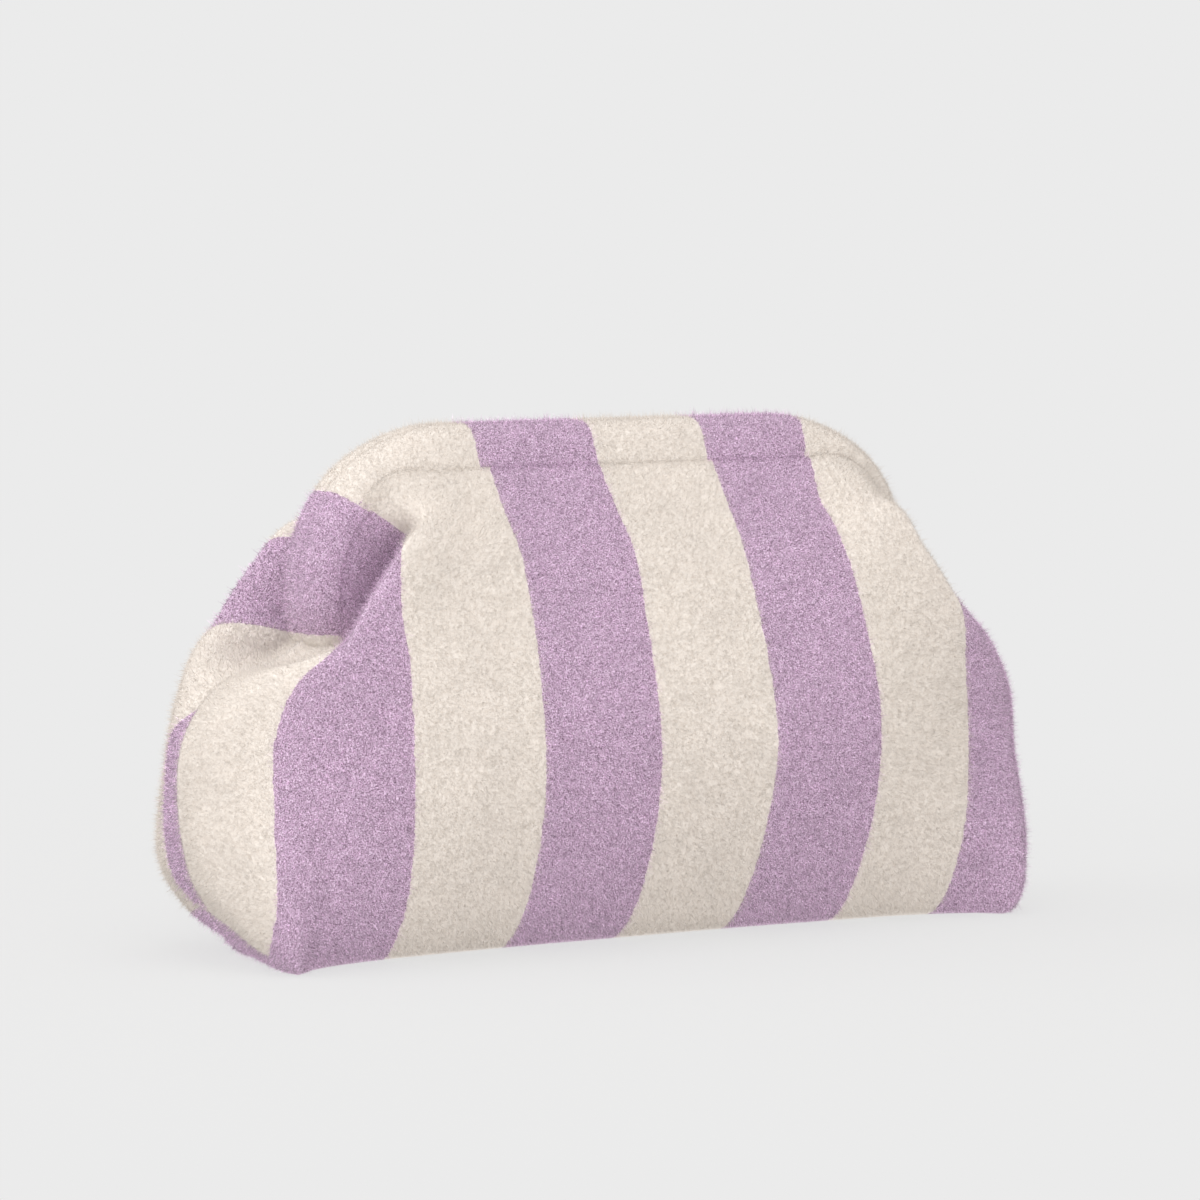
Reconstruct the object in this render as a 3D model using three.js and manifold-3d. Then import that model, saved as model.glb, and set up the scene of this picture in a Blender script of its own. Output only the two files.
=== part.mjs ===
// Pouch bag: a plush clutch on a hidden hinged frame, standing on its boxed base.
// Millimetres, +Z up. The front faces -Y and the origin is on the floor under the middle.
import * as THREE from 'three';
import { mergeVertices } from 'three/addons/utils/BufferGeometryUtils.js';
import Module from 'manifold-3d';

// Cloth and fits
const CLOTH = 3;
const CASING_CLOTH = 2.5;
const SEAM_HALF_GAP = 0.2;

// Side of the mouth plane that a piece is on, along Y
const FRONT = -1;
const BACK = 1;

// Stitch line of the casings: an upside-down U in the upright plane of the mouth
const BAR_HALF = 67;
const CORNER_RADIUS = 36;
const CORNER_UP = 128.5;
const CASING_FOOT = 106;
const CASING_RISE = 16;
const ARM_NARROWING = 6;
const CORNER_STEPS = 10;

// Section of a casing: depth from the mouth plane, rise out from the stitch line
const CASING_SECTION = [
  { depth: 2.6, rise: 1.2 },
  { depth: 2.5, rise: 7 },
  { depth: 2.8, rise: 12.5 },
  { depth: 4.6, rise: 15.6 },
  { depth: 7.2, rise: 16 },
  { depth: 10.2, rise: 13.4 },
  { depth: 12.6, rise: 9.2 },
  { depth: 14.4, rise: 4.6 },
  { depth: 15.3, rise: 1.2 },
  { depth: 13.6, rise: 0 },
  { depth: 4, rise: 0 },
];

// Flat steel strip of the frame, inside each casing, and the hinge block that joins the two
const STRIP_NEAR = 5.4;
const STRIP_FAR = 7.8;
const STRIP_LOW = 4;
const STRIP_HIGH = 10.5;
const HINGE_TOP = 100;
const HINGE_HEIGHT = 9;

// Ribs of a panel, from the middle of the bar round to the side seam, as [out, depth, up].
// Each rib runs down from the stitch line over the fold beside the arm and the rim of the
// bulge, over the belly, in at the foot and under the base to its middle line.
// The corner column is how far a rib shares in what the boxed corner does, from 0 to 1.
const RIBS = [
  { corner: 0, stitch: [0, 14.6, 163.9], fold: [0, 25, 152], rim: [0, 38, 134],
    belly: [0, 60, 72], low: [0, 45, 22], edge: [0, 24, 0], centre: [0, 0.2, 0] },
  { corner: 0, stitch: [38, 14.6, 163.9], fold: [38, 25, 152], rim: [38, 38, 134],
    belly: [39, 60, 72], low: [39, 45, 22], edge: [39, 24, 0], centre: [38, 0.2, 0] },
  { corner: 0, stitch: [67, 14.6, 163.8], fold: [69, 26, 152], rim: [73, 39, 136],
    belly: [78, 58, 72], low: [80, 45.5, 22], edge: [80, 26, 0], centre: [76, 0.2, 0] },
  { corner: 0.1, stitch: [88, 14.6, 158.8], fold: [88, 25, 151], rim: [98, 41, 143],
    belly: [107, 52, 72], low: [111, 46, 22], edge: [111, 29, 0], centre: [100, 0.2, 0] },
  { corner: 0.5, stitch: [104.4, 14.6, 143], fold: [91, 19, 138], rim: [110, 44, 131],
    belly: [128, 46, 72], low: [134, 47, 22], edge: [134, 36, 0], centre: [114, 0.2, 0] },
  { corner: 1, stitch: [108.3, 14.6, 121], fold: [95, 20, 114], rim: [125, 43, 111],
    belly: [145, 37, 77], low: [149.5, 48.5, 24], edge: [146, 46, 1.5], centre: [128, 0.2, 0] },
  { corner: 0.9, stitch: [108.6, 15.4, 105], fold: [107, 23, 101], rim: [138, 33, 104],
    belly: [156, 24.5, 75], low: [158, 32, 26], edge: [151.5, 31, 7], centre: [139, 0.2, 1] },
  { corner: 0.5, stitch: [115.5, 14.8, 104.6], fold: [120, 19, 99], rim: [147, 19, 99],
    belly: [163.5, 12, 72], low: [163, 16, 28], edge: [155, 15, 14], centre: [144, 0.2, 2.5] },
  { corner: 0, stitch: [119.6, 0.2, 104.6], fold: [130, 0.2, 99], rim: [152, 0.2, 93.5],
    belly: [166.5, 0.2, 68], low: [163.5, 0.2, 32], edge: [156, 0.2, 18], centre: [148, 0.2, 6] },
];
// The back corners are drawn up off the floor and in at the base, and stand out at the rim
const BACK_CORNER_LIFT = { rim: 2, low: 6, edge: 9 };
const BACK_CORNER_TUCK = { rim: -2.5, low: 1, edge: 7 };
const FOLD_LINES = ['stitch', 'fold', 'rim', 'belly', 'low', 'edge', 'centre'];
const STEPS_ACROSS = 48;
const STEPS_DOWN = 22;

const LILAC = new THREE.MeshStandardMaterial({ color: 0xbea0c5, roughness: 0.95, metalness: 0 });
const CREAM = new THREE.MeshStandardMaterial({ color: 0xe8e0d6, roughness: 0.95, metalness: 0 });
const STEEL = new THREE.MeshStandardMaterial({ color: 0x9a9ca0, roughness: 0.35, metalness: 1 });

function curveThrough(points) {
  return new THREE.CatmullRomCurve3(points, false, 'centripetal');
}

// Stations along the stitch line, from the left foot over the bar to the right foot
function stitchStations(foot) {
  const stations = [{ x: -BAR_HALF, z: foot, angle: Math.PI }];
  for (const [centre, from] of [[-BAR_HALF, Math.PI], [BAR_HALF, Math.PI / 2]]) {
    for (let step = 0; step <= CORNER_STEPS; step += 1) {
      stations.push({ x: centre, z: CORNER_UP, angle: from - (step / CORNER_STEPS) * (Math.PI / 2) });
    }
  }
  stations.push({ x: BAR_HALF, z: foot, angle: 0 });
  return stations;
}

// Distance of a rise from the corner's centre; the panels narrow the casings on the arms
function reachAt(angle, rise) {
  const turn = Math.abs(angle - Math.PI / 2) / (Math.PI / 2);
  const start = ARM_NARROWING * THREE.MathUtils.smoothstep(turn, 0, 1);
  return CORNER_RADIUS + start + rise * (1 - start / CASING_RISE);
}

// A section placed square to the stitch line at a station, on the front or the back
function ringAt(station, section, side) {
  return section.map(({ depth, rise }) => new THREE.Vector3(
    station.x + reachAt(station.angle, rise) * Math.cos(station.angle),
    side * depth,
    station.z + reachAt(station.angle, rise) * Math.sin(station.angle),
  ));
}

// A closed loop of section points moved inward by the wall
function insetLoop(section, wall) {
  return section.map((point, index) => {
    const before = section[(index + section.length - 1) % section.length];
    const after = section[(index + 1) % section.length];
    const arriving = new THREE.Vector2(point.depth - before.depth, point.rise - before.rise).normalize();
    const leaving = new THREE.Vector2(after.depth - point.depth, after.rise - point.rise).normalize();
    const inward = new THREE.Vector2(arriving.y + leaving.y, -arriving.x - leaving.x).normalize();
    const reach = wall / inward.dot(new THREE.Vector2(leaving.y, -leaving.x));
    return { depth: point.depth + inward.x * reach, rise: point.rise + inward.y * reach };
  });
}

// Triangles of a band between two rows of points
function band(rowA, rowB) {
  const triangles = [];
  for (let k = 0; k + 1 < rowA.length; k += 1) {
    triangles.push([rowA[k], rowB[k], rowB[k + 1]], [rowA[k], rowB[k + 1], rowA[k + 1]]);
  }
  return triangles;
}

// Bands between each row and the next
function bands(rows) {
  return rows.slice(1).flatMap((row, index) => band(rows[index], row));
}

// A closed geometry from triangles of points, turned to face out
function closedGeometry(triangles) {
  const volume = triangles.reduce((sum, [a, b, c]) => sum + a.dot(b.clone().cross(c)), 0);
  const facing = volume > 0 ? triangles : triangles.map(([a, b, c]) => [a, c, b]);
  const soup = new THREE.BufferGeometry().setFromPoints(facing.flat());
  return mergeVertices(soup);
}

// A wall between an outer and an inner skin, closed along the borders that are open
function wallGeometry(outer, inner, wrapped) {
  const last = outer.length - 1;
  const inside = bands(inner).map(([a, b, c]) => [a, c, b]);
  const ends = [...band(inner[0], outer[0]), ...band(outer[last], inner[last])];
  const triangles = [...bands(outer), ...inside, ...ends];
  if (!wrapped) {
    const column = (rows, index) => rows.map((row) => row.at(index));
    triangles.push(...band(column(outer, 0), column(inner, 0)));
    triangles.push(...band(column(inner, -1), column(outer, -1)));
  }
  return closedGeometry(triangles);
}

// A sleeve of cloth round the frame, open at both feet
function casingGeometry(side) {
  const loop = (section) => [...section, section[0]];
  const stations = stitchStations(CASING_FOOT);
  const skin = (section) => stations.map((station) => ringAt(station, loop(section), side));
  return wallGeometry(skin(CASING_SECTION), skin(insetLoop(CASING_SECTION, CASING_CLOTH)), true);
}

// Outer skin of a panel: rows of points from the left seam to the right seam
function panelSkin(side) {
  const place = (rib, hand, line) => {
    const [out, depth, up] = rib[line];
    const share = side === BACK ? rib.corner : 0;
    const tuck = share * (BACK_CORNER_TUCK[line] ?? 0);
    const lift = share * (BACK_CORNER_LIFT[line] ?? 0);
    return new THREE.Vector3(hand * (out - tuck), side * depth, up + lift);
  };
  const left = RIBS.slice(1).reverse();
  const foldCurves = FOLD_LINES.map((line) => curveThrough([
    ...left.map((rib) => place(rib, -1, line)),
    ...RIBS.map((rib) => place(rib, 1, line)),
  ]));
  const rows = [];
  for (let across = 0; across <= STEPS_ACROSS; across += 1) {
    const rib = curveThrough(foldCurves.map((curve) => curve.getPoint(across / STEPS_ACROSS)));
    const row = rib.getPoints(STEPS_DOWN);
    row.forEach((point) => {
      point.y = side * Math.max(side * point.y, SEAM_HALF_GAP);
      point.z = Math.max(point.z, 0);
    });
    rows.push(row);
  }
  return rows;
}

// The skin moved inward by the cloth; on the seams it moves within the seam plane
function innerSkin(outer, side) {
  const lastRow = outer.length - 1;
  return outer.map((row, across) => row.map((point, down) => {
    const onSeam = across === 0 || across === lastRow || down === row.length - 1;
    const left = outer[Math.max(across - 1, 0)][down];
    const right = outer[Math.min(across + 1, lastRow)][down];
    const above = row[Math.max(down - 1, 0)];
    const below = row[Math.min(down + 1, row.length - 1)];
    const outward = below.clone().sub(above).cross(right.clone().sub(left)).multiplyScalar(-side);
    if (onSeam) {
      outward.y = 0;
    }
    const moved = point.clone().addScaledVector(outward.normalize(), -CLOTH);
    moved.y = side * Math.max(side * moved.y, SEAM_HALF_GAP);
    return moved;
  }));
}

function panelGeometry(side) {
  const outer = panelSkin(side);
  return wallGeometry(outer, innerSkin(outer, side), false);
}

// A flat strip along the frame, closed at both feet
function stripGeometry(side) {
  const section = [
    { depth: STRIP_NEAR, rise: STRIP_LOW },
    { depth: STRIP_NEAR, rise: STRIP_HIGH },
    { depth: STRIP_FAR, rise: STRIP_HIGH },
    { depth: STRIP_FAR, rise: STRIP_LOW },
    { depth: STRIP_NEAR, rise: STRIP_LOW },
  ];
  const stations = stitchStations(HINGE_TOP - HINGE_HEIGHT / 2);
  const rows = stations.map((station) => ringAt(station, section, side));
  const cap = ([a, b, c, d]) => [[a, b, c], [a, c, d]];
  const farCap = cap(rows.at(-1)).map(([a, b, c]) => [a, c, b]);
  return closedGeometry([...bands(rows), ...cap(rows[0]), ...farCap]);
}

// The block at the foot of an arm that holds the ends of both strips
function hingeGeometry(hand) {
  const near = BAR_HALF + reachAt(0, STRIP_LOW);
  const far = BAR_HALF + reachAt(0, STRIP_HIGH);
  const block = new THREE.BoxGeometry(far - near, 2 * STRIP_FAR, HINGE_HEIGHT);
  block.translate((hand * (near + far)) / 2, 0, HINGE_TOP - HINGE_HEIGHT / 2);
  return block;
}

function solidFrom(wasm, geometry) {
  const bare = geometry.clone();
  bare.deleteAttribute('normal');
  bare.deleteAttribute('uv');
  const merged = mergeVertices(bare);
  return new wasm.Manifold(new wasm.Mesh({
    numProp: 3,
    vertProperties: new Float32Array(merged.attributes.position.array),
    triVerts: new Uint32Array(merged.index.array),
  }));
}

// The two strips and the two hinge blocks joined into one piece
async function frameGeometry() {
  const wasm = await Module();
  wasm.setup();
  const geometries = [...[FRONT, BACK].map(stripGeometry), ...[-1, 1].map(hingeGeometry)];
  const solids = geometries.map((geometry) => solidFrom(wasm, geometry));
  const mesh = solids.reduce((joined, solid) => joined.add(solid)).getMesh();
  const frame = new THREE.BufferGeometry();
  frame.setAttribute('position', new THREE.BufferAttribute(mesh.vertProperties, mesh.numProp));
  frame.setIndex(new THREE.BufferAttribute(mesh.triVerts, 1));
  return frame;
}

function piece(name, geometry, material) {
  geometry.computeVertexNormals();
  const mesh = new THREE.Mesh(geometry, material);
  mesh.name = name;
  return mesh;
}

const bag = new THREE.Group();
bag.add(piece('front_panel', panelGeometry(FRONT), LILAC));
bag.add(piece('back_panel', panelGeometry(BACK), LILAC.clone()));
bag.add(piece('front_casing', casingGeometry(FRONT), CREAM));
bag.add(piece('back_casing', casingGeometry(BACK), CREAM.clone()));
bag.add(piece('hinge_frame', await frameGeometry(), STEEL));

export default bag;
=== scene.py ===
"""Plush pouch bag with broad lilac and cream stripes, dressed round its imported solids.

Two lofted cloth panels are gathered into two folded casings, which hold a hidden hinged steel
frame. Geometry Nodes plant the short pile of the plush on each piece of cloth.
"""
import logging
import math
from dataclasses import dataclass
from enum import Enum
from typing import Any, NamedTuple

import bpy
import numpy as np
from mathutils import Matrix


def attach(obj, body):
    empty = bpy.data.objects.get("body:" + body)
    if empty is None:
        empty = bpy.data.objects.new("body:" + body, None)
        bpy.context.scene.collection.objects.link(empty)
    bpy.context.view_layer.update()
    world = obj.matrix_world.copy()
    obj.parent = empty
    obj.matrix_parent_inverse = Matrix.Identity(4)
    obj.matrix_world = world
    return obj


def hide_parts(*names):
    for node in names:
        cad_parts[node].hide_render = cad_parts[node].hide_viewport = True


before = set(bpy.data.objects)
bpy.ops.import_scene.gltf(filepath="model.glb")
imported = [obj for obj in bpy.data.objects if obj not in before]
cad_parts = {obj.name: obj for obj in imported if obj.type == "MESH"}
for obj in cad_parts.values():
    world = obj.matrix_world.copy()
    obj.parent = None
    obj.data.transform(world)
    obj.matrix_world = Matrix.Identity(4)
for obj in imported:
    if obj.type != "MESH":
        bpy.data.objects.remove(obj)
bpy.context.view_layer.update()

LOG = logging.getLogger("pouch_bag")
MM = 0.001
BODY = "root"

# The top leans this far to the right between these heights
LEAN = 2.0 * MM
LEAN_FROM = 80.0 * MM
LEAN_TO = 170.0 * MM

# Attributes that the cloth carries for its pile and its finish
STRIPE = "stripe"
PILE = "pile"
TRIM = "trim"
TONE = "tone"
TIP = "tip"
ROOT_NORMAL = "root_normal"


class Side(Enum):
    """The half of the bag that a piece belongs to, with its sign along Y."""

    FRONT = -1
    BACK = 1


class End(Enum):
    """The end of the bag that a half of a panel runs to, with its sign along X."""

    LEFT = -1
    RIGHT = 1


class Swell(NamedTuple):
    """A place where the soft cloth stands out to one side of the bag, in mm.

    It grows from inner to outer along X and from low to full in height, and above full it fades out
    again by fade, or stays where that is None.
    """

    end: End
    reach: float
    inner: float
    outer: float
    low: float
    full: float
    fade: float | None = None


# The shoulders of both ends, and the bellies of the ends below them
SWELLS = (
    Swell(End.LEFT, 3.2, 78, 108, 102, 122),
    Swell(End.RIGHT, 3.2, 78, 108, 132, 152),
    Swell(End.LEFT, 1.4, 115, 150, 58, 80, 104),
    Swell(End.RIGHT, 4.0, 115, 150, 56, 80, 100),
)


class Rib(NamedTuple):
    """One line of the cloth from the stitch line down to the base, as (out, depth, up) in mm."""

    corner: float
    stitch: tuple[float, float, float]
    fold: tuple[float, float, float]
    rim: tuple[float, float, float]
    belly: tuple[float, float, float]
    low: tuple[float, float, float]
    edge: tuple[float, float, float]
    centre: tuple[float, float, float]


# Ribs of one quarter of the bag, from the middle of a panel to its side seam
RIBS = (
    Rib(0, (0, 14.6, 163.9), (0, 25, 152), (0, 38, 134), (0, 60, 72), (0, 45, 22), (0, 24, 0), (0, 0.2, 0)),
    Rib(0, (38, 14.6, 163.9), (38, 25, 152), (38, 38, 134), (39, 60, 72), (39, 45, 22), (39, 24, 0),
        (38, 0.2, 0)),
    Rib(0, (67, 14.6, 163.8), (69, 26, 152), (73, 39, 136), (78, 58, 72), (80, 45.5, 22), (80, 26, 0),
        (76, 0.2, 0)),
    Rib(0.1, (88, 14.6, 158.8), (88, 25, 151), (98, 41, 143), (107, 52, 72), (111, 46, 22), (111, 29, 0),
        (100, 0.2, 0)),
    Rib(0.5, (104.4, 14.6, 143), (88.5, 17.5, 138), (110, 44, 131), (128, 46, 72), (134, 47, 22),
        (134, 36, 0), (114, 0.2, 0)),
    Rib(1, (108.3, 14.6, 121), (92.5, 18.5, 114), (125, 43, 111), (145, 37, 77), (149.5, 48.5, 24),
        (146, 46, 1.5), (128, 0.2, 0)),
    Rib(0.9, (108.6, 13.5, 105), (107, 23, 103.5), (138, 33, 104.5), (156, 24.5, 75), (158, 32, 26),
        (151.5, 31, 7), (139, 0.2, 1)),
    Rib(0.5, (113.5, 12, 104.6), (120, 19, 102.5), (147, 19, 99.5), (163.5, 12, 72), (163, 16, 28),
        (155, 15, 14), (144, 0.2, 2.5)),
    Rib(0, (119.6, 0.2, 104.6), (130, 0.2, 102), (152, 0.2, 93.5), (166.5, 0.2, 68), (163.5, 0.2, 32),
        (156, 0.2, 18), (148, 0.2, 6)),
)
FOLD_LINES = 7
STITCH_LINE = 0
FOLD_LINE = 1
RIM_LINE = 2
LOW_LINE = 4
EDGE_LINE = 5

# How far some points of a panel's half lie from the ribs above: rib, line, and (out, depth, up) in mm
BACK_SHOULDER = ((2, RIM_LINE, (1.1, 0, 0.6)), (3, RIM_LINE, (2.2, 0, 1.2)), (4, RIM_LINE, (1.1, 0, 0.6)))
FRONT_FILL = ((2, RIM_LINE, (0, 0, 1.5)), (3, RIM_LINE, (-1.5, -1, 3)), (4, RIM_LINE, (-1.5, 0, 1)),
              (3, FOLD_LINE, (6, 2, 3)), (4, FOLD_LINE, (12, 6, 4)))
BACK_FILL = ((3, FOLD_LINE, (4, 2, 2)), (4, FOLD_LINE, (8, 4, 3)))
MOVED = {
    (Side.FRONT, End.LEFT): (),
    (Side.FRONT, End.RIGHT): FRONT_FILL,
    (Side.BACK, End.LEFT): BACK_SHOULDER,
    (Side.BACK, End.RIGHT): BACK_SHOULDER + BACK_FILL,
}

# Where the cloth's own stripes lie at each rib of the left and the right half, in mm from its middle.
# The lines are the stitch, fold and rim lines of the ribs, one just below the rim, and the belly, low and
# edge lines.
STRIPE_LINES = (0, 1, 2, 2.25, 3, 4, 5)
STRIPES = {
    Side.FRONT: (
        ((0, 38.3, 68, 91.5, 115, 138, 154, 165, 178),
         (0, 39, 70, 89, 111, 134, 152, 166, 180),
         (0, 40, 74.5, 98, 117, 146, 163, 172, 184),
         (0, 39.5, 75.3, 100.4, 120, 139.5, 152.5, 166, 186),
         (0, 38, 77.5, 107.5, 129.5, 147, 163, 177, 190),
         (0, 41, 80.6, 112, 131.5, 145, 158, 176, 190),
         (0, 41, 81, 113, 127, 138, 150, 172, 190)),
        ((0.6, 40, 72.5, 98, 118, 138, 154, 165, 178),
         (-0.5, 40, 79, 99, 119, 138, 155, 168, 180),
         (-1.5, 38.5, 81.5, 103.5, 119.5, 136, 154, 170, 184),
         (-1, 38.8, 80.5, 105.4, 119.5, 135.5, 155, 172, 185.5),
         (0.5, 39.5, 77.5, 111, 132, 151, 166, 179, 190),
         (-2, 40, 82, 119, 142, 156, 170, 182, 192),
         (-2, 40, 82, 121, 145, 158, 172, 184, 194)),
    ),
    Side.BACK: (
        ((0, 38, 67, 86, 102, 133, 153, 163, 176),
         (0, 38, 68, 88, 106, 136, 155, 168, 180),
         (0, 39, 72, 96, 108, 143, 160, 175, 190),
         (0, 39, 73.5, 98.9, 113.4, 146, 166, 181.2, 194.5),
         (0, 39, 78, 107.5, 129.5, 155, 184, 200, 208),
         (0, 40, 80, 111, 133, 150, 174, 194, 208),
         (0, 40, 80, 111, 133, 150, 196, 204, 212)),
    ) * 2,
}
LILAC_WIDTH = 45.0
CREAM_WIDTH = 47.5
STRIPE_PERIOD = LILAC_WIDTH + CREAM_WIDTH
STRIPE_START = -11.0

# A point this far past the edge line, in lines, lies on the base
PAST_EDGE = 0.01

# Noise lies mostly between these values
NOISE_LOW = 0.3
NOISE_MIDDLE = 0.5
NOISE_HIGH = 0.7

# Octaves of noise: one for even grain, two for a wandering edge, three for mottle and drawn lines
GRAIN_OCTAVES = 1.0
EDGE_OCTAVES = 2.0
MOTTLE_OCTAVES = 3.0

# Seeds of the blades' own lean, tone and length
LEAN_SEED = 3
TONE_SEED = 5
LENGTH_SEED = 11

# Least lengths that may divide, for a curve's step and for a vector
LEAST_STEP = 1e-6
LEAST_LENGTH = 1e-12


def linear_from_hex(code: str) -> tuple[float, float, float, float]:
    """Turn an sRGB hex colour into linear light.

    Args:
        code: Six hex digits, with or without a leading hash.

    Returns:
        Linear red, green, blue and an alpha of 1.
    """
    digits = code.lstrip("#")
    channels = []
    for start in (0, 2, 4):
        value = int(digits[start:start + 2], 16) / 255
        channels.append(value / 12.92 if value <= 0.04045 else ((value + 0.055) / 1.055) ** 2.4)
    return (channels[0], channels[1], channels[2], 1.0)


def add_node(tree: bpy.types.NodeTree, kind: str, settings: dict[str, Any] | None = None,
             inputs: dict[str | int, Any] | None = None) -> bpy.types.Node:
    """Add a node to a tree, with its settings, values and links.

    Args:
        tree: The shader or geometry tree that takes the node.
        kind: Blender's name for the node's type.
        settings: Values of the node's own properties.
        inputs: Values of the node's sockets, by name or place; an output socket is linked.

    Returns:
        The new node.
    """
    node = tree.nodes.new(kind)
    for name, value in (settings or {}).items():
        setattr(node, name, value)
    for key, value in (inputs or {}).items():
        socket = node.inputs[key]
        if isinstance(value, bpy.types.NodeSocket):
            tree.links.new(value, socket)
        else:
            socket.default_value = value
    return node


def smooth_path(knots: np.ndarray, spans: int) -> np.ndarray:
    """Run centripetal Catmull-Rom curves through knots.

    Args:
        knots: Points along the first axis, curves along the second, coordinates along the last.
        spans: Number of equal steps of the curves' parameter.

    Returns:
        spans + 1 points along the first axis.
    """
    before = 2.0 * knots[0] - knots[1]
    after = 2.0 * knots[-1] - knots[-2]
    run = np.concatenate([before[None], knots, after[None]])
    place = np.linspace(0.0, len(knots) - 1.0, spans + 1)
    first = np.minimum(place.astype(int), len(knots) - 2)
    t = (place - first)[:, None, None]
    p0, p1, p2, p3 = (run[first + k] for k in range(4))
    d0, d1, d2 = (np.maximum(np.sqrt(np.linalg.norm(b - a, axis=-1, keepdims=True)), LEAST_STEP)
                  for a, b in ((p0, p1), (p1, p2), (p2, p3)))
    start = ((p1 - p0) / d0 - (p2 - p0) / (d0 + d1) + (p2 - p1) / d1) * d1
    end = ((p2 - p1) / d1 - (p3 - p1) / (d1 + d2) + (p3 - p2) / d2) * d1
    cubic = 2.0 * p1 - 2.0 * p2 + start + end
    square = -3.0 * p1 + 3.0 * p2 - 2.0 * start - end
    return p1 + start * t + square * t ** 2 + cubic * t ** 3


def eased(values: np.ndarray, start: float, end: float) -> np.ndarray:
    """Rise softly from 0 at a start to 1 at an end."""
    part = np.clip((values - start) / (end - start), 0.0, 1.0)
    return part * part * (3.0 - 2.0 * part)


def leaned(points: np.ndarray) -> np.ndarray:
    """Lean the top of the bag to its right and let its ends swell, as its soft cloth stands.

    Args:
        points: Points in metres.

    Returns:
        The points, moved along X.
    """
    across, up = points[..., 0] / MM, points[..., 2] / MM
    moved = points.copy()
    moved[..., 0] += LEAN * eased(points[..., 2], LEAN_FROM, LEAN_TO)
    for swell in SWELLS:
        sign = swell.end.value
        share = eased(across * sign, swell.inner, swell.outer) * eased(up, swell.low, swell.full)
        if swell.fade is not None:
            share *= 1.0 - eased(up, swell.full, swell.fade)
        moved[..., 0] += sign * swell.reach * MM * share
    return moved


def unit(vectors: np.ndarray) -> np.ndarray:
    """Scale vectors along the last axis to a length of 1."""
    return vectors / np.maximum(np.linalg.norm(vectors, axis=-1, keepdims=True), LEAST_LENGTH)


def mesh_object(name: str, points: np.ndarray, faces: np.ndarray) -> bpy.types.Object:
    """Make a smooth-shaded mesh object at the origin.

    Args:
        name: Name of the object and its mesh.
        points: Vertices in metres.
        faces: Vertex numbers of each face, all with the same number of corners.

    Returns:
        The object, linked to the scene.
    """
    mesh = bpy.data.meshes.new(name)
    mesh.from_pydata(points.tolist(), [], faces.tolist())
    mesh.polygons.foreach_set("use_smooth", np.ones(len(mesh.polygons), dtype=bool))
    mesh.update()
    piece = bpy.data.objects.new(name, mesh)
    bpy.context.scene.collection.objects.link(piece)
    return piece


def store(piece: bpy.types.Object, name: str, domain: str, values: np.ndarray) -> None:
    """Store one number for each point or face of a mesh.

    Args:
        piece: The mesh object.
        name: Name of the attribute.
        domain: POINT or FACE.
        values: One number for each element.
    """
    attribute = piece.data.attributes.new(name, "FLOAT", domain)
    attribute.data.foreach_set("value", np.ascontiguousarray(values, dtype=np.float32).ravel())


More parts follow.
